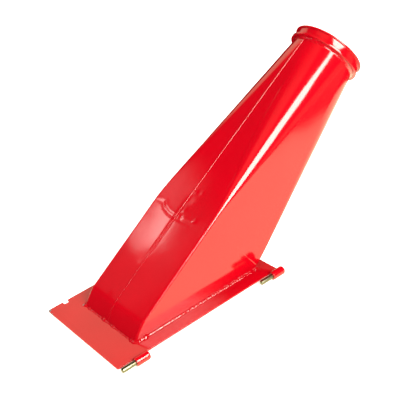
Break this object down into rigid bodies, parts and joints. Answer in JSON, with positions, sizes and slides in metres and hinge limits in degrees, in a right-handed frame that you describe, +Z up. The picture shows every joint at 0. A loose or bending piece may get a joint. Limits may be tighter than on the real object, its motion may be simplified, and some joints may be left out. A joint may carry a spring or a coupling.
{
  "type": "grain auger transition chute",
  "caption": "Hinged sheet-metal chute that narrows from a rectangular mouth on a flat flange plate to a round tilted collar, held by lift-off hinge pins and edge notches.",
  "frame": {"origin": "centre of the bounding box in plan, at the height of the lowest point, which is the underside of the hinge barrels", "axes": "+X along the hinge edge, from the free ends of the hinge pins towards the end the chute leans over; +Y from the hinge edge to the free edge of the plate; +Z up, square to the plate"},
  "size_m": [0.8191, 0.3003, 0.4494],
  "materials": {
    "painted_plate": "gloss",
    "painted_sheet": "gloss",
    "painted_collar": "gloss",
    "painted_weld": "gloss over a rough bead",
    "painted_barrel": "gloss",
    "zinc_pin": "bright zinc plating, slightly yellow"
  },
  "bodies": {
    "root": {"base_plate": "painted_plate", "near_half_shell": "painted_sheet", "far_half_shell": "painted_sheet", "collar": "painted_collar", "front_seam_weld": "painted_weld", "back_seam_weld": "painted_weld", "near_base_weld": "painted_weld", "far_base_weld": "painted_weld", "front_base_weld": "painted_weld", "back_base_weld": "painted_weld", "collar_weld": "painted_weld", "front_hinge_weld": "painted_weld", "rear_hinge_weld": "painted_weld", "front_hinge_barrel": "painted_barrel", "rear_hinge_barrel": "painted_barrel", "front_hinge_pin": "zinc_pin", "rear_hinge_pin": "zinc_pin"}
  },
  "joints": []
}
